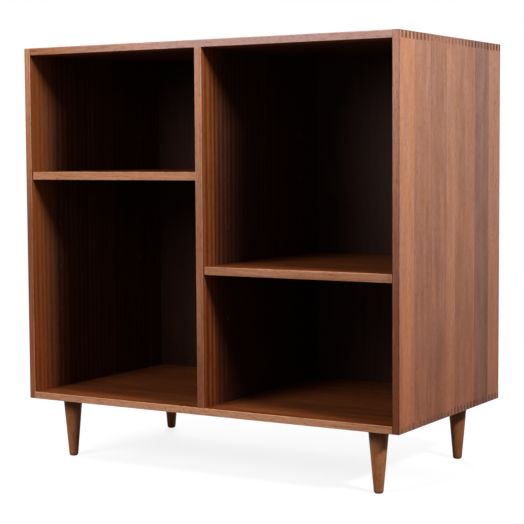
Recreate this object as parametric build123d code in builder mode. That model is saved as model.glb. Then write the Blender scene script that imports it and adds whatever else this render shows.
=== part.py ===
from build123d import *
import os

# Bookcase: a box-jointed case on four turned legs, with a central divider
# and two loose shelves. Sizes are in millimetres. X is the width, Y the depth
# with the open front at -Y, and Z is up. The origin is on the floor, under
# the middle of the case.

# Case
case_width = 900.0
case_depth = 495.0
case_height = 764.0
panel_thickness = 15.0
outer_arris = 1.5  # rounding of the outer edges
opening_arris = 0.8  # chamfer around the front opening

# Box joints at the four long corners
finger_pairs = 30
glue_gap = 0.06

# Divider and its dowels
divider_thickness = 16.5
dowel_radius = 4.0
dowel_fit = 0.1
dowel_end_gap = 0.5
dowel_cover = 5.0  # wood left between a dowel hole and the outer face
dowel_depth_in_divider = 20.0
dowel_count = 4
dowel_chamfer = 0.8

# Back panel, set in a rebate and screwed to its shoulders
back_thickness = 6.0
back_inset = 4.0
back_gap = 0.5
rebate_depth = 8.0

# Countersunk screws
screw_length = 16.0
screw_radius = 1.5
screw_head_radius = 3.0
screw_head_angle = 90.0
screw_point = 3.0
screw_fit = 0.1
slot_width = 0.8
slot_depth = 0.7
screw_columns = 5  # along the top and along the bottom
screw_rows = 3  # up each side and the divider
screw_corner = 50.0  # from the case's sides to the first screw of a row

# Ladder of shelf support holes, lined with metal sleeves
hole_levels = 5
hole_pitch = 96.0
hole_setback = 95.0  # from the front edge, and from the rear edge
left_shelf_level = 3  # counted from 0 at the lowest hole
right_shelf_level = 1
sleeve_web = 2.5  # wood and air left between two sleeves back to back
sleeve_radius = 3.5
sleeve_flange_radius = 4.5
sleeve_flange_thickness = 0.8
sleeve_fit = 0.05

# Shelf supports
pin_radius = 2.5
pin_fit = 0.1
pin_end_gap = 0.6
collar_radius = 4.2
collar_thickness = 1.0
paddle_reach = 10.0
paddle_width = 8.0
paddle_thickness = 2.2
paddle_corner = 3.0

# Shelves
shelf_thickness = 17.2
shelf_end_gap = 2.0
shelf_setback = 3.5
shelf_rear_gap = 1.5
shelf_arris = 1.5

# Legs
leg_length = 131.0
leg_top_radius = 21.0
foot_radius = 9.4
foot_round = 5.0
leg_inset_side = 73.0
leg_inset_front = 59.0
leg_inset_back = 54.0

# Hanger bolts and the threaded inserts in the bottom panel
bolt_radius = 4.0
bolt_depth_in_leg = 34.0
bolt_point = 6.0
bolt_end_gap = 1.0
bolt_chamfer = 0.8
bolt_fit = 0.1
insert_radius = 6.0
insert_fit = 0.05
insert_cover = 3.0  # wood left above an insert

# Planes and lengths that several pieces share
case_front = -case_depth / 2
case_back = case_depth / 2
case_bottom = leg_length
case_top = case_bottom + case_height
case_middle = (case_bottom + case_top) / 2
inner_width = case_width - 2 * panel_thickness
inner_height = case_height - 2 * panel_thickness
ceiling = case_top - panel_thickness
floor = case_bottom + panel_thickness
finger_width = case_depth / (2 * finger_pairs)
rebate_width = back_inset + back_thickness
back_front_face = case_back - rebate_width
back_rear_face = case_back - back_inset
compartment_width = (inner_width - divider_thickness) / 2
compartment_centre = (inner_width + divider_thickness) / 4
screw_line = panel_thickness - rebate_depth / 2
screw_head_depth = screw_head_radius - screw_radius
sleeve_length = (divider_thickness - sleeve_web) / 2
sleeve_bore = pin_radius + pin_fit
pin_insert = sleeve_length - pin_end_gap
hole_row_spacing = case_depth - 2 * hole_setback
divider_depth = back_front_face - case_front
divider_centre_y = case_front + divider_depth / 2
dowel_spacing = divider_depth / dowel_count
dowel_depth_in_panel = panel_thickness - dowel_cover
dowel_length = dowel_depth_in_divider + dowel_depth_in_panel - 2 * dowel_end_gap
insert_length = panel_thickness - insert_cover
shelf_depth = back_front_face - shelf_rear_gap - case_front - shelf_setback
leg_x = case_width / 2 - leg_inset_side
leg_front_y = case_front + leg_inset_front
leg_back_y = case_back - leg_inset_back
leg_points = {
    "leg_front_left": (-leg_x, leg_front_y),
    "leg_front_right": (leg_x, leg_front_y),
    "leg_back_left": (-leg_x, leg_back_y),
    "leg_back_right": (leg_x, leg_back_y),
}


def wall_plane(x, facing):
    """Plane on an upright wall: its normal points into the compartment, its y axis is up."""
    return Plane(origin=(x, 0, case_middle), x_dir=(0, facing, 0), z_dir=(facing, 0, 0))


wall_planes = {
    "left_side": wall_plane(-inner_width / 2, 1),
    "divider_left": wall_plane(-divider_thickness / 2, -1),
    "divider_right": wall_plane(divider_thickness / 2, 1),
    "right_side": wall_plane(inner_width / 2, -1),
}
screw_plane = Plane(origin=(0, back_rear_face, case_middle), x_dir=(-1, 0, 0), z_dir=(0, 1, 0))


def centred(count, spacing):
    """Evenly spaced positions about zero."""
    return [(i - (count - 1) / 2) * spacing for i in range(count)]


def level_height(level):
    """Height of a support hole above the middle of the case."""
    return centred(hole_levels, hole_pitch)[level]


def screw_points():
    """Screws along the top and bottom, then up both sides and the divider."""
    half_width = case_width / 2 - screw_line
    half_height = case_height / 2 - screw_line
    columns = centred(screw_columns, (case_width - 2 * screw_corner) / (screw_columns - 1))
    rows = centred(screw_rows, case_height / (screw_rows + 1))
    across = [(x, z) for x in columns for z in (-half_height, half_height)]
    upright = [(x, z) for x in (-half_width, 0, half_width) for z in rows]
    return across + upright


# The whole case as one rounded block, which gives every panel its outer edges.
with BuildPart() as case_block:
    with Locations((0, 0, case_middle)):
        Box(case_width, case_depth, case_height)
    fillet(case_block.edges(), outer_arris)

# Recess for the back panel.
with BuildPart() as back_rebate:
    with Locations((0, case_back - rebate_width / 2, case_middle)):
        Box(
            inner_width + 2 * rebate_depth,
            rebate_width,
            inner_height + 2 * rebate_depth,
        )

# Chamfer around the front opening.
with BuildPart() as opening_chamfer:
    with BuildSketch(Plane(origin=(0, case_front, case_middle), x_dir=(1, 0, 0), z_dir=(0, 1, 0))):
        Rectangle(inner_width + 2 * opening_arris, inner_height + 2 * opening_arris)
    extrude(amount=opening_arris, taper=45)


def cut_finger_slots(centres, shift):
    """Slots for the other panel's fingers, shifted along the corner by half a finger."""
    with Locations(*[(x, shift, z) for x, z in centres]):
        with GridLocations(finger_width, 2 * finger_width, 1, finger_pairs):
            Box(
                panel_thickness,
                finger_width + glue_gap,
                panel_thickness,
                mode=Mode.SUBTRACT,
            )


def finish_case_panel():
    """Rebate, opening chamfer and rounded outer edges, alike on all four case panels."""
    add(back_rebate.part, mode=Mode.SUBTRACT)
    add(opening_chamfer.part, mode=Mode.SUBTRACT)
    add(case_block.part, mode=Mode.INTERSECT)


def drill_screw_holes(depth):
    """Pilot holes for the back panel's screws."""
    with Locations(screw_plane):
        with Locations(*screw_points()):
            Hole(screw_radius + screw_fit, depth)


def drill_sleeve_holes(wall):
    """Two rows of counterbored holes for the sleeves of one wall."""
    with Locations(wall):
        with GridLocations(hole_row_spacing, hole_pitch, 2, hole_levels):
            CounterBoreHole(
                sleeve_radius + sleeve_fit,
                sleeve_flange_radius + sleeve_fit,
                sleeve_flange_thickness,
                sleeve_length,
            )


def drill_dowel_holes(z, depth):
    """Blind dowel holes above or below a joint face."""
    with Locations((0, divider_centre_y, z)):
        with GridLocations(dowel_spacing, dowel_spacing, 1, dowel_count):
            Hole(dowel_radius + dowel_fit, depth)


def side_panel(hand):
    """Upright side: hand is -1 on the left and 1 on the right."""
    x = hand * (inner_width + panel_thickness) / 2
    joints = [(x, case_top - panel_thickness / 2), (x, case_bottom + panel_thickness / 2)]
    with BuildPart() as panel:
        with Locations((x, 0, case_middle)):
            Box(panel_thickness, case_depth, case_height)
        cut_finger_slots(joints, finger_width / 2)
        drill_sleeve_holes(wall_planes["left_side" if hand < 0 else "right_side"])
        drill_screw_holes(screw_length)
        finish_case_panel()
    return panel


def level_panel(z):
    """Blank of the top or the bottom, with slots for the fingers of both sides."""
    x = (inner_width + panel_thickness) / 2
    with BuildPart() as panel:
        with Locations((0, 0, z)):
            Box(case_width, case_depth, panel_thickness)
        cut_finger_slots([(-x, z), (x, z)], -finger_width / 2)
        drill_screw_holes(screw_length)
        finish_case_panel()
    return panel


def top_panel():
    """Top, drilled from below for the divider's dowels."""
    blank = level_panel(case_top - panel_thickness / 2)
    with BuildPart() as panel:
        add(blank.part)
        drill_dowel_holes(ceiling, dowel_depth_in_panel)
    return panel


def bottom_panel():
    """Bottom, drilled from above for dowels and from below for the leg inserts."""
    blank = level_panel(case_bottom + panel_thickness / 2)
    with BuildPart() as panel:
        add(blank.part)
        drill_dowel_holes(floor, dowel_depth_in_panel)
        with Locations(*[(x, y, case_bottom) for x, y in leg_points.values()]):
            Hole(insert_radius + insert_fit, insert_length)
    return panel


def divider():
    """Upright between the two compartments, flush at the front and against the back panel."""
    with BuildPart() as panel:
        with Locations((0, divider_centre_y, case_middle)):
            Box(divider_thickness, divider_depth, inner_height)
        front_edges = panel.edges().filter_by(Axis.Z).group_by(Axis.Y)[0]
        chamfer(front_edges, opening_arris)
        drill_sleeve_holes(wall_planes["divider_left"])
        drill_sleeve_holes(wall_planes["divider_right"])
        drill_dowel_holes(ceiling, dowel_depth_in_divider)
        drill_dowel_holes(floor, dowel_depth_in_divider)
        drill_screw_holes(screw_length)
    return panel


def divider_dowels(z):
    """One row of dowels, centred at height z."""
    with BuildPart() as dowels:
        with Locations((0, divider_centre_y, z)):
            with GridLocations(dowel_spacing, dowel_spacing, 1, dowel_count):
                Cylinder(dowel_radius, dowel_length)
        chamfer(dowels.edges().filter_by(GeomType.CIRCLE), dowel_chamfer)
    return dowels


def back_panel():
    """Thin panel in the rebate, countersunk for its screws."""
    with BuildPart() as panel:
        with Locations((0, (back_front_face + back_rear_face) / 2, case_middle)):
            Box(
                inner_width + 2 * (rebate_depth - back_gap),
                back_thickness,
                inner_height + 2 * (rebate_depth - back_gap),
            )
        with Locations(screw_plane):
            with Locations(*screw_points()):
                CounterSinkHole(
                    screw_radius + screw_fit,
                    screw_head_radius + screw_fit,
                    counter_sink_angle=screw_head_angle,
                )
    return panel


def back_screw():
    """One slotted countersunk screw, with its head flush with the plane z = 0."""
    with BuildPart() as screw:
        with BuildSketch(Plane.XZ):
            with BuildLine():
                Polyline(
                    (0, 0),
                    (screw_head_radius, 0),
                    (screw_radius, -screw_head_depth),
                    (screw_radius, screw_point - screw_length),
                    (0, -screw_length),
                    close=True,
                )
            make_face()
        revolve(axis=Axis.Z)
        Box(2 * screw_head_radius, slot_width, 2 * slot_depth, mode=Mode.SUBTRACT)
    return screw


def back_screws():
    """All screws of the back panel."""
    screw = back_screw()
    with BuildPart() as screws:
        with Locations(screw_plane):
            with Locations(*screw_points()):
                add(screw.part)
    return screws


def sleeve():
    """One flanged sleeve along z, with its flange flush with the plane z = 0."""
    with BuildPart() as tube:
        with BuildSketch(Plane.XZ):
            with BuildLine():
                Polyline(
                    (sleeve_bore, 0),
                    (sleeve_flange_radius, 0),
                    (sleeve_flange_radius, -sleeve_flange_thickness),
                    (sleeve_radius, -sleeve_flange_thickness),
                    (sleeve_radius, -sleeve_length),
                    (sleeve_bore, -sleeve_length),
                    close=True,
                )
            make_face()
        revolve(axis=Axis.Z)
    return tube


def wall_sleeves(wall):
    """Sleeves of one wall."""
    tube = sleeve()
    with BuildPart() as sleeves:
        with Locations(wall):
            with GridLocations(hole_row_spacing, hole_pitch, 2, hole_levels):
                add(tube.part)
    return sleeves


def shelf_pin():
    """One support: a round pin, a collar against the wall and a flat paddle level with its top."""
    with BuildPart() as pin:
        with BuildSketch(Plane.XY.offset(-pin_insert)):
            Circle(pin_radius)
        extrude(amount=pin_insert)
        with BuildSketch(Plane.XY):
            Circle(collar_radius)
        extrude(amount=collar_thickness)
        with BuildSketch(Plane.XZ.offset(-pin_radius)):
            with Locations((0, paddle_reach / 2)):
                Rectangle(paddle_width, paddle_reach)
        extrude(amount=paddle_thickness)
        outer_corners = pin.edges().filter_by(Axis.Y).group_by(Axis.Z)[-1]
        fillet(outer_corners, paddle_corner)
    return pin


def shelf_pins(walls, level):
    """The four supports of one shelf."""
    pin = shelf_pin()
    with BuildPart() as pins:
        for wall in walls:
            with Locations(wall_planes[wall]):
                with Locations((0, level_height(level))):
                    with GridLocations(hole_row_spacing, hole_row_spacing, 2, 1):
                        add(pin.part)
    return pins


def shelf(hand, level):
    """Loose shelf resting on its supports: hand is -1 on the left and 1 on the right."""
    underside = case_middle + level_height(level) + pin_radius
    centre_y = case_front + shelf_setback + shelf_depth / 2
    with BuildPart() as board:
        with Locations((hand * compartment_centre, centre_y, underside + shelf_thickness / 2)):
            Box(compartment_width - 2 * shelf_end_gap, shelf_depth, shelf_thickness)
        front_edges = board.edges().filter_by(Axis.X).group_by(Axis.Y)[0]
        fillet(front_edges, shelf_arris)
    return board


def leg(x, y):
    """Round tapered leg with a softened foot, bored from above for its hanger bolt."""
    with BuildPart() as turning:
        with BuildSketch(Plane(origin=(x, y, 0), x_dir=(1, 0, 0), z_dir=(0, -1, 0))):
            with BuildLine():
                FilletPolyline(
                    (0, 0),
                    (foot_radius, 0),
                    (leg_top_radius, leg_length),
                    radius=foot_round,
                )
                Polyline((leg_top_radius, leg_length), (0, leg_length), (0, 0))
            make_face()
        revolve(axis=Axis((x, y, 0), (0, 0, 1)))
        with Locations((x, y, leg_length)):
            Hole(bolt_radius + bolt_fit, bolt_depth_in_leg + bolt_end_gap)
    return turning


def leg_bolts():
    """Hanger bolts: wood thread down in the leg, machine thread up in the insert."""
    top = insert_length - bolt_end_gap
    with BuildPart() as bolt:
        with BuildSketch(Plane.XZ):
            with BuildLine():
                Polyline(
                    (0, top),
                    (bolt_radius - bolt_chamfer, top),
                    (bolt_radius, top - bolt_chamfer),
                    (bolt_radius, bolt_point - bolt_depth_in_leg),
                    (0, -bolt_depth_in_leg),
                    close=True,
                )
            make_face()
        revolve(axis=Axis.Z)
    with BuildPart() as bolts:
        with Locations(*[(x, y, case_bottom) for x, y in leg_points.values()]):
            add(bolt.part)
    return bolts


def leg_inserts():
    """Threaded inserts in the underside of the bottom panel."""
    with BuildPart() as inserts:
        with BuildSketch(Plane.XY.offset(case_bottom)):
            with Locations(*leg_points.values()):
                Circle(insert_radius)
                Circle(bolt_radius + bolt_fit, mode=Mode.SUBTRACT)
        extrude(amount=insert_length)
    return inserts


def write(piece, name):
    """Label one finished piece and write it as its own STEP file."""
    piece.part.label = name
    export_step(piece.part, f"parts/{name}.step")


os.makedirs("parts", exist_ok=True)

write(side_panel(-1), "left_side")
write(side_panel(1), "right_side")
write(top_panel(), "top_panel")
write(bottom_panel(), "bottom_panel")
write(divider(), "divider")
dowel_shift = (dowel_depth_in_divider - dowel_depth_in_panel) / 2
write(divider_dowels(ceiling - dowel_shift), "divider_dowels_top")
write(divider_dowels(floor + dowel_shift), "divider_dowels_bottom")
write(back_panel(), "back_panel")
write(back_screws(), "back_panel_screws")
for wall_name, plane in wall_planes.items():
    write(wall_sleeves(plane), f"shelf_pin_sleeves_{wall_name}")
write(shelf_pins(["left_side", "divider_left"], left_shelf_level), "shelf_pins_left")
write(shelf_pins(["divider_right", "right_side"], right_shelf_level), "shelf_pins_right")
write(shelf(-1, left_shelf_level), "shelf_left")
write(shelf(1, right_shelf_level), "shelf_right")
for leg_name, (leg_px, leg_py) in leg_points.items():
    write(leg(leg_px, leg_py), leg_name)
write(leg_bolts(), "leg_hanger_bolts")
write(leg_inserts(), "leg_inserts")
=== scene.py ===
import math

import bpy
from mathutils import Euler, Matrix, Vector

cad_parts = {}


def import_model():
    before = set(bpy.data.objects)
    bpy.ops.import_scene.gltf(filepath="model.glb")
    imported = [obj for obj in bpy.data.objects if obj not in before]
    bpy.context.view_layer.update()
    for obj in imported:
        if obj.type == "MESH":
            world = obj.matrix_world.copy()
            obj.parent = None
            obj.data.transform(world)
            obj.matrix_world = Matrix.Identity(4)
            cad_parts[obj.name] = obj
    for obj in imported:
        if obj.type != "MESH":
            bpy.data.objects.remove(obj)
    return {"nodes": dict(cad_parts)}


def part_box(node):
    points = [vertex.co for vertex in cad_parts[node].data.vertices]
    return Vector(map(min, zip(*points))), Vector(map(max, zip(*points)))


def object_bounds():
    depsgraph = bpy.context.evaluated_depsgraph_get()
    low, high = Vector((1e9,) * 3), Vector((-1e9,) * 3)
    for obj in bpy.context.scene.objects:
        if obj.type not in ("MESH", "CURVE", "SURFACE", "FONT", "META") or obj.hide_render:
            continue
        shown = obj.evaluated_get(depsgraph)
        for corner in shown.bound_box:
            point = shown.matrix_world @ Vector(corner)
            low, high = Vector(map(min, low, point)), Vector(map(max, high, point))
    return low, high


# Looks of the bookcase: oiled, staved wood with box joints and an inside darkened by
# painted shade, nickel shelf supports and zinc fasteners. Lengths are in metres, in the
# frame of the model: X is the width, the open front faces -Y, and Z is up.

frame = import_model()
nodes = frame["nodes"]
cad_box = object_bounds()

# Camera, worked out from the straight edges in the photograph: degrees, and a lens in mm
CAMERA_PLACE = (1.674, -2.780, 0.668)
CAMERA_TILT = 85.80
CAMERA_TURN = 31.057
CAMERA_ROLL = -0.36
CAMERA_LENS = 102.7

# Lamps: where they are, the point they face, their size and their power in watts
KEY = {
    "place": (2.20, -0.68, 1.50),
    "target": (0.30, -0.20, 0.60),
    "size": (0.50, 0.19),
    "power": 41.0,
}
FILL = {
    "place": (-0.60, -2.10, 1.38),
    "target": (0.0, -0.25, 0.50),
    "size": (1.0, 1.0),
    "power": 31.0,
}
REAR = {
    "place": (-1.50, 2.20, 1.50),
    "target": (0.0, 0.25, 0.50),
    "size": (1.4, 1.4),
    "power": 60.0,
}

# Strength of the world's light on the object
AMBIENT = 0.15

# Floor: what it sends back to the object, and how it looks to the camera
FLOOR_SIZE = 60.0
FLOOR_ALBEDO = 0.12
FLOOR_SEEN_LIGHT = 0.84
FLOOR_SEEN_SHARE = 0.26
FLOOR_FADE_START = 0.9
FLOOR_FADE_END = 2.4

# Specular level of the oiled wood, of the two uprights whose inner faces show from the
# front right, and of the veneered back
WOOD_SPECULAR = 0.08
INSIDE_SPECULAR = 0.22
BACK_SPECULAR = 0.12
WOOD_ROUGHNESS = 0.50

X, Y, Z = 0, 1, 2

# A face looks to the front where its normal's Y is below this
FRONT_FACING = -0.5


def linear(red, green, blue):
    """Linear colour of an sRGB colour given in 0 to 255."""
    out = []
    for value in (red, green, blue):
        value /= 255
        out.append(value / 12.92 if value <= 0.04045 else ((value + 0.055) / 1.055) ** 2.4)
    return (*out, 1.0)


# The colour sockets of a Mix node, which has others of the same names
MIX_COLOUR_A = 6
MIX_COLOUR_B = 7
MIX_COLOUR_OUT = 2


class Graph:
    """The node tree of a material or a world, with short calls to add and join nodes."""

    def __init__(self, owner):
        self.owner = owner
        owner.use_nodes = True
        self.tree = owner.node_tree
        self.tree.nodes.clear()

    def put(self, socket, value):
        """Joins an output to an input socket, or sets the socket to a plain value."""
        if isinstance(value, bpy.types.NodeSocket):
            self.tree.links.new(value, socket)
        elif value is not None:
            socket.default_value = value

    def node(self, kind, inputs=None, **settings):
        made = self.tree.nodes.new(kind)
        for key, value in settings.items():
            setattr(made, key, value)
        for key, value in (inputs or {}).items():
            self.put(made.inputs[key], value)
        return made

    def math(self, operation, a, b=None, c=None):
        made = self.node("ShaderNodeMath", operation=operation)
        for socket, value in zip(made.inputs, (a, b, c)):
            self.put(socket, value)
        return made.outputs[0]

    def add(self, *terms):
        total = terms[0]
        for term in terms[1:]:
            total = self.math("ADD", total, term)
        return total

    def times(self, *terms):
        total = terms[0]
        for term in terms[1:]:
            total = self.math("MULTIPLY", total, term)
        return total

    def scaled(self, value, factor, offset=0.0):
        return self.math("MULTIPLY_ADD", value, factor, offset)

    def vector(self, x, y, z):
        return self.node("ShaderNodeCombineXYZ", {0: x, 1: y, 2: z}).outputs[0]

    def split(self, vector):
        return list(self.node("ShaderNodeSeparateXYZ", {0: vector}).outputs)

    def noise(self, vector, scale=1.0, detail=2.0, roughness=0.5):
        made = self.node("ShaderNodeTexNoise", {
            "Vector": vector,
            "Scale": scale,
            "Detail": detail,
            "Roughness": roughness,
        })
        return made.outputs["Fac"]

    def span(self, value, low, high, to_low=0.0, to_high=1.0, smooth=True):
        """Maps low..high to to_low..to_high, held flat beyond."""
        kind = "SMOOTHSTEP" if smooth else "LINEAR"
        made = self.node("ShaderNodeMapRange", interpolation_type=kind)
        for key, number in (("Value", value), ("From Min", low), ("From Max", high),
                            ("To Min", to_low), ("To Max", to_high)):
            self.put(made.inputs[key], number)
        return made.outputs[0]

    def curve(self, factor, values):
        """Straight runs through evenly spaced values between -1 and 1."""
        stops = []
        for index, value in enumerate(values):
            half = (value + 1) / 2
            stops.append((index / (len(values) - 1), (half, half, half, 1.0)))
        return self.scaled(self.ramp(factor, stops), 2.0, -1.0)

    def ramp(self, factor, stops, constant=False):
        made = self.node("ShaderNodeValToRGB", {0: factor})
        elements = made.color_ramp.elements
        made.color_ramp.interpolation = "CONSTANT" if constant else "LINEAR"
        while len(elements) < len(stops):
            elements.new(1.0)
        for element, (place, colour) in zip(elements, stops):
            element.position = place
            element.color = colour
        return made.outputs[0]

    def mix(self, factor, a, b, blend="MIX"):
        made = self.node("ShaderNodeMix", data_type="RGBA", blend_type=blend)
        self.put(made.inputs["Factor"], factor)
        self.put(made.inputs[MIX_COLOUR_A], a)
        self.put(made.inputs[MIX_COLOUR_B], b)
        return made.outputs[MIX_COLOUR_OUT]

    def tint(self, factor, colour, tint):
        """Multiplies a colour by a tint, as far as the factor says."""
        return self.mix(factor, colour, self.mix(1.0, colour, (*tint, 1.0), "MULTIPLY"))

    def finish(self, shader, output="ShaderNodeOutputMaterial"):
        self.node(output, {"Surface": shader})
        return self.owner


# Wood colours, from the darkest grain to the palest, and the levels they stand for
LEVELS = (0.0, 0.35, 0.65, 1.0)
OUTSIDE = [linear(124, 76, 55), linear(155, 104, 81), linear(177, 125, 102),
           linear(197, 144, 121)]
# Inside palette: darker and redder than the outside, as painted shade inside the case
INSIDE_SHADED = [linear(86, 38, 15), linear(111, 54, 25), linear(130, 67, 32), linear(150, 82, 43)]
LEG = [linear(110, 58, 35), linear(146, 88, 55), linear(174, 114, 74), linear(196, 134, 90)]
# Back veneer palette: much darker than the other wood, as painted shade at the back of the
# case
SHADED_VENEER = [linear(28, 13, 10), linear(41, 20, 15), linear(52, 26, 19), linear(66, 36, 27)]
BEECH = [linear(150, 110, 76), linear(190, 150, 110), linear(205, 168, 126),
         linear(220, 186, 146)]

# Tints of a board that leans to grey-purple, and of one that leans to orange
COOL = (0.94, 1.10, 1.36)
WARM = (1.04, 0.96, 0.78)

# Painted shade on an upright toward the floor: a tint that makes it darker and redder
LOW_SHADE = (0.89, 0.69, 0.57)

# Tints of the specks in the wood, of its open pores and of the glue lines between boards
DARK_FLECK = (0.66, 0.56, 0.50)
PALE_FLECK = (1.22, 1.20, 1.18)
PORE_TINT = (0.35, 0.28, 0.25)
SEAM_TINT = (0.4, 0.3, 0.25)

# Tints of end grain, of the pores in it, and of the top of a leg, painted shadow of the case,
# and of its worn foot
END_TINT = (0.34, 0.34, 0.40)
END_PORE_TINT = (0.70, 0.62, 0.60)
TIP_SHADOW_AND_WEAR_TINT = (0.42, 0.36, 0.40)

# Tints of an edge: pale where the finish is rubbed, with a painted highlight on the rounded
# arris, and dark as painted shade on rounded edges
PALE_ARRIS_WEAR_AND_HIGHLIGHT = (1.4, 1.4, 1.4)
DARK_ARRIS_SHADE = (0.50, 0.40, 0.35)

# How far from the edge it starts and ends to fade into the face
EDGE_WEAR_AND_LIGHT_START = 0.0004
EDGE_WEAR_AND_LIGHT_END = 0.0024

# Growth rings and ribbon stripes: half the spacing of the rings, how far across a piece
# their pith may lie, the span and the low end of its place through the thickness, counted
# from the zero of the frame, and the pitch of the stripes
RING_WIDTH = 0.0045
PITH_RANGE = 0.20
LEAN_RANGE = 0.26
LEAN_LOW = -0.20
STRIPE_PITCH = 0.016

# Darker bands of a leg, painted shadow of the case below its top and wear above its foot:
# how far they reach below its top and above its foot, and where they are full
TOP_SHADOW_FAR = 0.045
TOP_SHADOW_NEAR = 0.004
FOOT_BAND_FAR = 0.007
FOOT_BAND_NEAR = 0.001

# Depth of the grain and of the scratches in the metal
GRAIN_DEPTH = 0.0003
SCRATCH_DEPTH = 0.0001

# Painted shade on the faces inside the case: a tint that grows between the two depths
# below, counted behind the front, darker and less red than the palette of those faces
DEEP_SHADE = (0.38, 0.50, 0.95)
DEEP_SHADE_START = 0.02
DEEP_SHADE_END = 0.09

# The inside of the case, with a skin that takes in the faces round it
SKIN = 0.0003
inside_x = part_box("right_side")[0].x + SKIN
inside_low_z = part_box("bottom_panel")[1].z - SKIN
inside_high_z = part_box("top_panel")[0].z + SKIN
inside_back_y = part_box("back_panel")[0].y + SKIN


def inside_mask(g, place, normal):
    """1 inside the case and on the faces round it, but 0 on faces that look to the front."""
    mask = g.math("LESS_THAN", g.math("ABSOLUTE", place[X]), inside_x)
    mask = g.times(mask, g.math("GREATER_THAN", place[Z], inside_low_z))
    mask = g.times(mask, g.math("LESS_THAN", place[Z], inside_high_z))
    mask = g.times(mask, g.math("LESS_THAN", place[Y], inside_back_y))
    return g.times(mask, g.math("GREATER_THAN", normal[Y], FRONT_FACING))


def total_width(boards):
    return sum(board[0] for board in boards)


def board_stops(boards, seed):
    """Ramp stops that give each glued board its tone, its warmth and a number of its own."""
    own_start = 0.137
    own_step = 0.618
    total = total_width(boards)
    stops = []
    start = 0.0
    for index, (width, tone, warmth) in enumerate(boards):
        own = (own_start + own_step * (index + seed)) % 1.0
        stops.append((start / total, (tone, warmth, own, 1.0)))
        start += width
    return stops


def seam_stops(boards):
    """Ramp stops that are 1 on the thin glue lines between boards, and 0 elsewhere."""
    half_line = 0.25  # mm, as the widths of the boards
    total = total_width(boards)
    stops = [(0.0, (0.0, 0.0, 0.0, 1.0))]
    start = 0.0
    for board in boards[:-1]:
        start += board[0]
        stops.append(((start - half_line) / total, (1.0, 1.0, 1.0, 1.0)))
        stops.append(((start + half_line) / total, (0.0, 0.0, 0.0, 1.0)))
    return stops


def edge_distance(g, place, low, high):
    """Distance of a surface point from the nearest edge of the node's box."""
    from_faces = []
    for axis in (X, Y, Z):
        to_low = g.math("SUBTRACT", place[axis], low[axis])
        to_high = g.math("SUBTRACT", high[axis], place[axis])
        from_faces.append(g.math("MINIMUM", to_low, to_high))
    nearer = g.math("MINIMUM", from_faces[0], from_faces[1])
    farther = g.math("MAXIMUM", from_faces[0], from_faces[1])
    return g.math("MAXIMUM", nearer, g.math("MINIMUM", farther, from_faces[2]))


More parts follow.
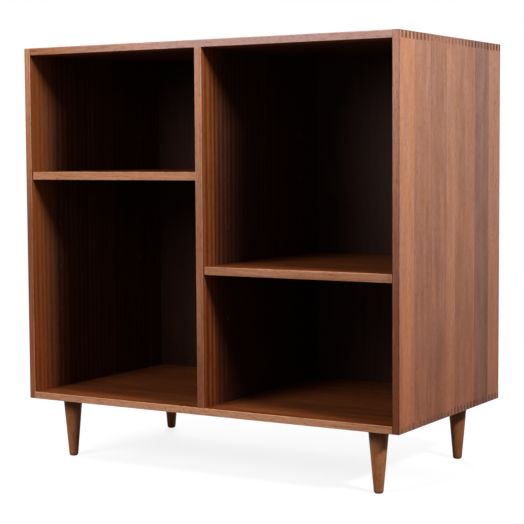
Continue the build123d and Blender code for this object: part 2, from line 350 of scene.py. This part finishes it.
def wood(name, node, grain, across, boards, palette=OUTSIDE, shaded_lining=None, seed=0,
         ribbon=0.0, figure=0.06, bold=1.0, front_sheen_and_shade=(0.0, 0.0, 0.0),
         front_sheen_warmth=(0.0, 0.0, 0.0), deep_shade=1.0, low_tint=0.0, dim_shade=0.0, ends=(0.7, 0.7),
         tip_shadow_and_wear=0.0, arris=PALE_ARRIS_WEAR_AND_HIGHLIGHT, specular=WOOD_SPECULAR):
    """Oiled wood for one node. grain and across are axis numbers, and boards lists
    (width in mm, tone, warmth) of each glued board from the low side to the high side.
    palette gives the colours of the outside, and shaded_lining those of the faces inside
    the case, if they differ: a darker palette that is painted shade. deep_shade is how far
    the latter darken toward the back, also painted shade. seed sets the boards' own
    numbers, which shift their grain. ribbon and figure are the strengths of straight
    stripes inside the case and of growth rings, and bold scales the streaks.
    front_sheen_and_shade and front_sheen_warmth shift the tone and the warmth of the front
    edge, in even steps from the low end of the grain to the high end, as painted sheen and
    shade. low_tint is how far the wood turns darker and redder from top to bottom, and
    dim_shade how far its tone falls, both painted shade. ends gives the darkness of end
    grain from the low side to the high side, and tip_shadow_and_wear that of the top of a
    leg, painted shadow of the case, and of its worn foot. arris is the tint of an edge,
    pale from wear and a painted highlight, or dark as painted shade, and specular the
    gloss."""
    g = Graph(bpy.data.materials.new(name))
    low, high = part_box(node)
    coords = g.node("ShaderNodeTexCoord")
    place = g.split(coords.outputs["Object"])
    normal = g.split(coords.outputs["Normal"])
    thick = place[3 - grain - across]

    # Which board this point is in, and that board's tone, warmth and own number
    position = g.span(place[across], low[across], high[across], smooth=False)
    table = g.ramp(position, board_stops(boards, seed), constant=True)
    tone, warmth, own = g.node("ShaderNodeSeparateColor", {0: table}).outputs
    shift = g.scaled(own, 37.0)

    # Streaks, fibres and pores, drawn out along the grain and gently bent
    u = g.add(place[grain], shift)
    wander = g.scaled(g.noise(g.vector(g.scaled(u, 1.3), shift, 0.0)), 0.020, -0.010)
    side = g.add(place[across], shift, wander)

    def drawn_out(along, over, detail=2.0, roughness=0.5):
        """Noise with features 1/along metres long and 1/over metres wide."""
        vector = g.vector(g.scaled(u, along), g.scaled(side, over), g.scaled(thick, over))
        return g.noise(vector, 1.0, detail, roughness)

    broad = drawn_out(1.6, 34.0)
    streak = drawn_out(5.0, 150.0, 3.0, 0.6)
    fibre = drawn_out(22.0, 700.0)
    pore = g.span(drawn_out(70.0, 1500.0, 1.0), 0.66, 0.78)
    blotch = g.noise(coords.outputs["Object"], 5.0)
    patches = drawn_out(13.0, 55.0, 4.0, 0.65)
    hue = drawn_out(8.0, 26.0)
    specks = drawn_out(85.0, 400.0, 2.0, 0.6)

    # Growth rings round a pith that wanders along the grain
    centre = (low[across] + high[across]) / 2
    pith = g.scaled(own, PITH_RANGE, centre - PITH_RANGE / 2)
    middle = g.math("SUBTRACT", place[across], pith)
    lean_noise = g.noise(g.vector(g.scaled(u, 0.9), shift, 0.0), 1.0, 1.0)
    lean = g.scaled(lean_noise, LEAN_RANGE, LEAN_LOW)
    below = g.math("SUBTRACT", thick, lean)
    radius = g.math("SQRT", g.add(g.times(middle, middle), g.times(below, below)))
    ring_noise = g.scaled(drawn_out(3.0, 20.0), 0.010)
    from_ring = g.math("PINGPONG", g.add(radius, ring_noise), RING_WIDTH)
    ring = g.span(from_ring, 0.0, RING_WIDTH, 1.0, -1.0)

    # Straight ribbon stripes, light and dark by turns
    stripe_place = g.math("SUBTRACT", place[across], low[across] + STRIPE_PITCH / 2)
    bend_noise = g.noise(g.vector(g.scaled(u, 0.6), g.scaled(side, 12.0), 0.0))
    bend = g.scaled(bend_noise, 9.0, -4.5)
    stripe = g.math("COSINE", g.add(g.scaled(stripe_place, 2 * math.pi / STRIPE_PITCH), bend))

    # The tone of this point as a level of the palette, and the palette's colour there
    lined_face = inside_mask(g, place, normal)
    is_front = g.math("LESS_THAN", normal[Y], FRONT_FACING)
    along = g.span(place[grain], low[grain], high[grain], smooth=False)
    down = g.span(place[Z], high[Z], low[Z], smooth=False)
    level = g.add(
        tone,
        g.scaled(broad, 0.50 * bold, -0.25 * bold),
        g.scaled(streak, 0.44 * bold, -0.22 * bold),
        g.scaled(fibre, 0.30, -0.15),
        g.scaled(blotch, 0.24, -0.12),
        g.scaled(patches, 0.60, -0.30),
        g.scaled(ring, figure),
        g.scaled(g.times(stripe, lined_face), ribbon),
        # Painted sheen and shade along the front edge
        g.times(is_front, g.curve(along, front_sheen_and_shade)),
        # Painted shade: the tone falls toward the floor
        g.scaled(down, -dim_shade),
    )
    colour = g.ramp(level, list(zip(LEVELS, palette)))
    # The darker inside palette is painted shade
    if shaded_lining:
        lined_shade = g.ramp(level, list(zip(LEVELS, shaded_lining)))
        # Painted shade, darker toward the back of the case
        shade_depth = g.span(place[Y], cad_box[0].y + DEEP_SHADE_START, cad_box[0].y + DEEP_SHADE_END)
        lined_shade = g.tint(g.scaled(shade_depth, deep_shade), lined_shade, DEEP_SHADE)
        colour = g.mix(lined_face, colour, lined_shade)
    # Painted sheen: the warmth of the front edge shifts along the grain
    front_sheen_warmer = g.times(is_front, g.curve(along, front_sheen_warmth))
    warmth = g.add(warmth, front_sheen_warmer, g.scaled(hue, 0.9, -0.45))
    colour = g.mix(warmth, g.tint(1.0, colour, COOL), g.tint(1.0, colour, WARM))
    # Painted shade: darker and redder toward the floor
    colour = g.tint(g.scaled(g.times(down, down), low_tint), colour, LOW_SHADE)
    colour = g.tint(g.scaled(pore, 0.45), colour, PORE_TINT)
    colour = g.tint(g.scaled(g.span(specks, 0.56, 0.68), 0.80), colour, DARK_FLECK)
    colour = g.tint(g.scaled(g.span(specks, 0.44, 0.32), 0.70), colour, PALE_FLECK)
    seam = g.ramp(position, seam_stops(boards), constant=True)
    colour = g.tint(g.scaled(seam, 0.35), colour, SEAM_TINT)

    # End grain is darker, more so in some places, and speckled with open pores
    end = g.span(g.math("ABSOLUTE", normal[grain]), 0.55, 0.85)
    end_stain = g.span(g.noise(coords.outputs["Object"], 22.0, 1.0), 0.38, 0.62)
    dots = g.span(g.noise(coords.outputs["Object"], 1300.0, 1.0), 0.45, 0.70)
    dark_end = g.times(end, g.scaled(end_stain, 0.35, 0.75), g.curve(position, ends))
    colour = g.tint(dark_end, colour, END_TINT)
    colour = g.tint(g.times(end, dots), colour, END_PORE_TINT)

    # The top of a leg, darkened as painted shadow of the case above it, and its worn foot
    case_shadow_band = g.span(place[Z], high[Z] - TOP_SHADOW_FAR, high[Z] - TOP_SHADOW_NEAR)
    foot_band = g.span(place[Z], low[Z] + FOOT_BAND_FAR, low[Z] + FOOT_BAND_NEAR)
    colour = g.tint(g.scaled(g.math("MAXIMUM", case_shadow_band, foot_band), tip_shadow_and_wear), colour, TIP_SHADOW_AND_WEAR_TINT)

    # Edges: pale from wear with a painted highlight, or dark as painted shade
    edge_wear_and_light_noise = g.noise(coords.outputs["Object"], 45.0, 3.0, 0.6)
    near_edge = g.span(edge_distance(g, place, low, high), EDGE_WEAR_AND_LIGHT_START, EDGE_WEAR_AND_LIGHT_END, 1.0, 0.0)
    edge_wear_and_light = g.times(near_edge, g.span(edge_wear_and_light_noise, 0.30, 0.60, 0.3, 1.0))
    colour = g.tint(edge_wear_and_light, colour, arris)

    rough = g.add(WOOD_ROUGHNESS, g.scaled(streak, 0.12, -0.06), g.scaled(blotch, 0.14, -0.07),
                  g.scaled(pore, 0.15), g.scaled(end, 0.12), g.scaled(edge_wear_and_light, -0.08))
    height = g.add(g.scaled(fibre, 0.5), g.scaled(pore, -0.8), g.scaled(streak, 0.3))
    bump = g.node("ShaderNodeBump", {
        "Height": height,
        "Strength": 0.3,
        "Distance": GRAIN_DEPTH,
    })
    shader = g.node("ShaderNodeBsdfPrincipled", {
        "Base Color": colour,
        "Roughness": rough,
        "Normal": bump.outputs[0],
        "Specular IOR Level": specular,
    })
    return g.finish(shader.outputs[0])


def metal(name, tint, roughness, tarnish):
    """Plated steel with fine scratches and dark spots. tarnish is how far its cloudy
    patches darken."""
    g = Graph(bpy.data.materials.new(name))
    coords = g.node("ShaderNodeTexCoord").outputs["Object"]
    place = g.split(coords)
    cloud = g.noise(coords, 160.0, 3.0, 0.6)
    scratch_scales = (900.0, 4000.0, 4000.0)
    stretched = [g.scaled(value, scale) for value, scale in zip(place, scratch_scales)]
    scratches = g.noise(g.vector(*stretched))
    spots = g.span(g.noise(coords, 700.0), 0.58, 0.72)
    tarnished = tuple(value * 0.5 for value in tint[:3]) + (1.0,)
    spot_colour = linear(70, 58, 48)
    colour = g.mix(g.scaled(cloud, tarnish), tint, tarnished)
    colour = g.mix(g.scaled(spots, 0.5), colour, spot_colour)
    rough = g.add(roughness, g.scaled(cloud, 0.2, -0.1), g.scaled(spots, 0.25))
    bump = g.node("ShaderNodeBump", {
        "Height": scratches,
        "Strength": 0.2,
        "Distance": SCRATCH_DEPTH,
    })
    shader = g.node("ShaderNodeBsdfPrincipled", {
        "Base Color": colour,
        "Metallic": 1.0,
        "Roughness": rough,
        "Normal": bump.outputs[0],
    })
    return g.finish(shader.outputs[0])


def dress(node, material):
    """Gives a node of the model one finish."""
    data = nodes[node].data
    data.materials.clear()
    data.materials.append(material)
    for face in data.polygons:
        face.material_index = 0


# Boards from the front to the back: width in mm, tone, warmth. WHOLE is a piece that isn't
# glued up from boards.
RIGHT_SIDE_BOARDS = [(65, 0.86, 0.95), (76, 0.58, 0.60), (72, 0.50, 0.50), (45, 0.72, 0.68),
                     (99, 0.62, 0.58), (74, 0.36, 0.0), (64, 0.78, 0.6)]
LEFT_SIDE_BOARDS = [(36, 1.05, 0.7), (46, 1.0, 0.6), (118, 0.45, 0.5), (96, 0.62, 0.6),
                    (131, 0.42, 0.4), (68, 0.6, 0.7)]
TOP_BOARDS = [(74, 0.66, 0.5), (121, 0.5, 0.6), (92, 0.6, 0.4), (139, 0.46, 0.5),
              (69, 0.6, 0.7)]
BOTTOM_BOARDS = [(70, 0.7, 0.6), (109, 0.5, 0.6), (127, 0.62, 0.6), (88, 0.5, 0.7),
                 (101, 0.6, 0.6)]
DIVIDER_BOARDS = [(44, 0.92, 0.7), (54, 0.55, 0.6), (132, 0.40, 0.6), (65, 0.5, 0.6),
                  (97, 0.4, 0.5), (95, 0.46, 0.5)]
SHELF_LEFT_BOARDS = [(64, 0.6, 0.6), (116, 0.5, 0.6), (101, 0.56, 0.5), (120, 0.45, 0.6),
                     (79, 0.5, 0.5)]
SHELF_RIGHT_BOARDS = [(58, 0.55, 0.5), (125, 0.5, 0.7), (98, 0.56, 0.6), (112, 0.45, 0.6),
                      (87, 0.5, 0.6)]
WHOLE = [(100, 0.5, 0.6)]

LEGS = ("leg_front_left", "leg_front_right", "leg_back_left", "leg_back_right")

# The faces inside the case take the darker palette, painted shade
case_wood = {"palette": OUTSIDE, "shaded_lining": INSIDE_SHADED}
top_ends = (0.85, 0.80, 0.30, 0.20, 0.30, 0.80, 0.95, 0.90)
bottom_ends = (0.50, 0.65, 0.90, 1.0, 1.0, 1.0, 1.0)
# The right side's edges take the dark tint, painted shade on its rounded edges
dress("right_side", wood("right_side_wood", "right_side", Z, Y, RIGHT_SIDE_BOARDS, seed=1,
                         figure=0.02, front_sheen_and_shade=(-0.85, -0.48, 0.15),
                         front_sheen_warmth=(-0.5, -0.4, -0.5), low_tint=1.0, dim_shade=0.22,
                         arris=DARK_ARRIS_SHADE, **case_wood))
dress("left_side", wood("left_side_wood", "left_side", Z, Y, LEFT_SIDE_BOARDS, seed=7,
                        ribbon=0.24, front_sheen_and_shade=(-0.62, -0.95, -0.20), front_sheen_warmth=(0.5, 0.4, 0.5),
                        deep_shade=0.85, low_tint=0.9, dim_shade=0.15, specular=INSIDE_SPECULAR,
                        **case_wood))
dress("top_panel", wood("top_panel_wood", "top_panel", X, Y, TOP_BOARDS, seed=13, bold=1.6,
                        front_sheen_and_shade=(-0.35, 0.90, 0.80), front_sheen_warmth=(0.7, -0.7, -0.4),
                        ends=top_ends, **case_wood))
dress("bottom_panel", wood("bottom_panel_wood", "bottom_panel", X, Y, BOTTOM_BOARDS, seed=19,
                           bold=2.6, front_sheen_and_shade=(0.05, 0.75, 0.10), front_sheen_warmth=(0.8, 0.6, 0.6),
                           deep_shade=0.30, ends=bottom_ends, **case_wood))
dress("divider", wood("divider_wood", "divider", Z, Y, DIVIDER_BOARDS, seed=23, ribbon=0.30,
                      figure=0.02, front_sheen_and_shade=(-0.45, -0.32, -0.22), front_sheen_warmth=(0.3, 0.4, 0.1),
                      low_tint=0.6, dim_shade=0.55, specular=INSIDE_SPECULAR, **case_wood))
dress("shelf_left", wood("shelf_left_wood", "shelf_left", X, Y, SHELF_LEFT_BOARDS, seed=31,
                         bold=1.6, front_sheen_and_shade=(0.10, 0.20, 0.15), front_sheen_warmth=(0.5, 0.6, 0.5),
                         deep_shade=0.3, **case_wood))
dress("shelf_right", wood("shelf_right_wood", "shelf_right", X, Y, SHELF_RIGHT_BOARDS, seed=37,
                          bold=2.2, front_sheen_and_shade=(-0.20, -0.05, 0.15), front_sheen_warmth=(0.4, 0.4, 0.5),
                          deep_shade=0.3, **case_wood))
# The back's dark veneer palette is painted shade
dress("back_panel", wood("back_veneer", "back_panel", Z, X, WHOLE, palette=SHADED_VENEER, seed=41,
                         specular=BACK_SPECULAR))
for number, leg in enumerate(LEGS):
    dress(leg, wood(leg + "_wood", leg, Z, X, WHOLE, palette=LEG, seed=43 + number,
                    figure=0.03, tip_shadow_and_wear=0.9))

# Both sets of dowels are hidden, so they share one finish, placed by the top ones
beech = wood("dowel_beech", "divider_dowels_top", Z, Y, WHOLE, palette=BEECH, seed=53)
dress("divider_dowels_top", beech)
dress("divider_dowels_bottom", beech)

nickel = metal("nickel_plate", linear(138, 126, 110), 0.48, 0.6)
zinc = metal("zinc_plate", linear(190, 190, 188), 0.45, 0.7)
for name in nodes:
    if name.startswith("shelf_pin"):
        dress(name, nickel)
for name in ("back_panel_screws", "leg_hanger_bolts", "leg_inserts"):
    dress(name, zinc)


def seen_directly(g):
    """1 where a ray comes from the camera, a reflection or a refraction, and 0 elsewhere."""
    path = g.node("ShaderNodeLightPath").outputs
    total = g.add(path["Is Camera Ray"], path["Is Glossy Ray"], path["Is Transmission Ray"])
    return g.math("MINIMUM", total, 1.0)


def floor_material():
    """Pale floor that is nearly white where it is seen, and keeps the object's shadow."""
    g = Graph(bpy.data.materials.new("pale_floor"))
    place = g.node("ShaderNodeTexCoord").outputs["Object"]
    reach = g.node("ShaderNodeVectorMath", {0: place}, operation="LENGTH")
    from_object = reach.outputs["Value"]
    albedo = (FLOOR_ALBEDO, FLOOR_ALBEDO, FLOOR_ALBEDO, 1.0)
    share = (FLOOR_SEEN_SHARE, FLOOR_SEEN_SHARE, FLOOR_SEEN_SHARE, 1.0)
    plain = g.node("ShaderNodeBsdfDiffuse", {"Color": albedo})
    shaded = g.node("ShaderNodeBsdfDiffuse", {"Color": share})
    base = g.node("ShaderNodeEmission", {"Strength": FLOOR_SEEN_LIGHT})
    near = g.node("ShaderNodeAddShader", {0: shaded.outputs[0], 1: base.outputs[0]})
    white = g.node("ShaderNodeEmission", {"Strength": 1.0})
    fade = g.span(from_object, FLOOR_FADE_START, FLOOR_FADE_END)
    seen = g.node("ShaderNodeMixShader", {0: fade, 1: near.outputs[0], 2: white.outputs[0]})
    both = g.node("ShaderNodeMixShader", {
        0: seen_directly(g),
        1: plain.outputs[0],
        2: seen.outputs[0],
    })
    return g.finish(both.outputs[0])


def floor():
    mesh = bpy.data.meshes.new("floor")
    half = FLOOR_SIZE / 2
    corners = [(-half, -half, 0), (half, -half, 0), (half, half, 0), (-half, half, 0)]
    mesh.from_pydata(corners, [], [(0, 1, 2, 3)])
    plane = bpy.data.objects.new("floor", mesh)
    bpy.context.scene.collection.objects.link(plane)
    mesh.materials.append(floor_material())


def world():
    """White where it is seen, and a weak even light on the object."""
    g = Graph(bpy.data.worlds.new("studio"))
    strength = g.span(seen_directly(g), 0.0, 1.0, AMBIENT, 1.0, smooth=False)
    white = (1.0, 1.0, 1.0, 1.0)
    background = g.node("ShaderNodeBackground", {"Color": white, "Strength": strength})
    bpy.context.scene.world = g.finish(background.outputs[0], "ShaderNodeOutputWorld")


def lamp(name, place, target, size, power):
    data = bpy.data.lights.new(name, "AREA")
    data.shape = "ELLIPSE"
    data.size, data.size_y = size
    data.energy = power
    made = bpy.data.objects.new(name, data)
    made.location = place
    made.rotation_euler = (Vector(target) - Vector(place)).to_track_quat("-Z", "Y").to_euler()
    made.visible_camera = False
    bpy.context.scene.collection.objects.link(made)


def camera():
    data = bpy.data.cameras.new("camera")
    data.lens = CAMERA_LENS
    data.sensor_width = 36.0
    data.clip_end = 100.0
    made = bpy.data.objects.new("camera", data)
    made.location = CAMERA_PLACE
    turn = Euler((math.radians(CAMERA_TILT), 0.0, math.radians(CAMERA_TURN)))
    turn.rotate_axis("Z", math.radians(CAMERA_ROLL))
    made.rotation_euler = turn
    bpy.context.scene.collection.objects.link(made)
    bpy.context.scene.camera = made


floor()
world()
lamp("key_lamp", **KEY)
lamp("fill_lamp", **FILL)
lamp("rear_lamp", **REAR)
camera()

bpy.context.scene.view_settings.view_transform = "Standard"
